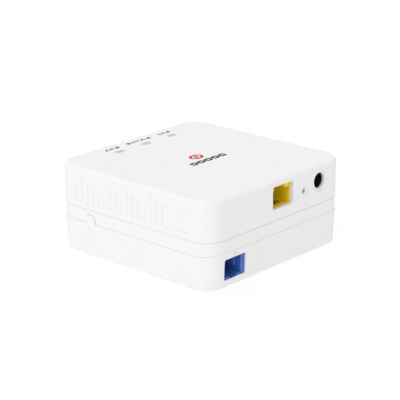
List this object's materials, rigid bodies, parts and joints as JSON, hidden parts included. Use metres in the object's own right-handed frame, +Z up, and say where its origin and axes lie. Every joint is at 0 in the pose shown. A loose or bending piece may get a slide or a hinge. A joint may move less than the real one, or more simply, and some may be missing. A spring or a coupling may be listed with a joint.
{
  "type": "optical network terminal",
  "caption": "Square white desktop fibre modem with vented sides, a network jack, a power jack, a fibre adapter in its lower half and a base cover that unclips.",
  "frame": {"origin": "centre of the footprint, on the surface that the feet stand on", "axes": "+Z up; -Y out of the face with the sockets; +Y towards the edge with the indicator windows; +X to the right when facing the sockets' face"},
  "size_m": [0.082, 0.082, 0.0366],
  "materials": {
    "white_abs": "fine moulded texture, satin",
    "foot_rubber": "matt",
    "clear_guide": "frosted clear acrylic",
    "screw_steel": "zinc plated",
    "board_green": "solder mask over glass fibre laminate",
    "yellow_plastic": "moulded, slightly glossy",
    "black_plastic": "moulded, satin",
    "gold_contact": "gold plated",
    "nickel": "nickel plated",
    "ivory_plastic": "moulded, satin",
    "led_white": "clear resin over phosphor",
    "chip_black": "moulded epoxy",
    "ferrite_grey": "ferrite",
    "capacitor_sleeve": "shrink sleeve over aluminium",
    "tan_ceramic": "fired ceramic",
    "gold_can": "gold plated header",
    "black_rubber": "matt",
    "fibre_jacket": "tight buffer jacket",
    "blue_plastic": "moulded, slightly glossy",
    "blue_rubber": "matt",
    "zirconia": "polished"
  },
  "bodies": {
    "base": {"base_cover": "white_abs", "rubber_feet": "foot_rubber"},
    "unit": {"top_cover": "white_abs", "middle_frame": "white_abs", "light_guide": "clear_guide", "case_screws": "screw_steel", "board_screws": "screw_steel", "main_board": "board_green", "lan_jack_housing": "yellow_plastic", "lan_jack_carrier": "black_plastic", "lan_jack_contacts": "gold_contact", "power_jack_housing": "black_plastic", "power_jack_pin": "nickel", "power_jack_spring": "nickel", "reset_switch_body": "black_plastic", "status_leds": "led_white", "system_chip": "chip_black", "flash_chip": "chip_black", "laser_driver_chip": "chip_black", "reference_crystal": "nickel", "lan_transformer": "chip_black", "power_inductors": "ferrite_grey", "bulk_capacitors": "capacitor_sleeve", "regulator_chips": "chip_black", "input_diode": "chip_black", "ceramic_capacitors": "tan_ceramic", "resistors": "chip_black", "transceiver_block": "nickel", "laser_can": "gold_can", "receiver_can": "gold_can", "transceiver_strain_relief": "black_rubber", "fibre_pigtail": "fibre_jacket", "plug_body": "ivory_plastic", "plug_grip": "blue_plastic", "plug_ferrule": "zirconia", "plug_boot": "blue_rubber", "adapter_body": "blue_plastic", "adapter_hooks": "blue_plastic", "adapter_sleeve": "zirconia"},
    "reset_button": {"reset_plunger": "ivory_plastic"}
  },
  "joints": [
    {"name": "base_release", "type": "slide", "parent": "base", "child": "unit", "axis": [0, 0, 1], "range_m": [0, 0.02]},
    {"name": "reset_press", "type": "slide", "parent": "unit", "child": "reset_button", "axis": [0, 1, 0], "range_m": [0, 0.00025], "stiffness_N_per_m": 6400}
  ]
}
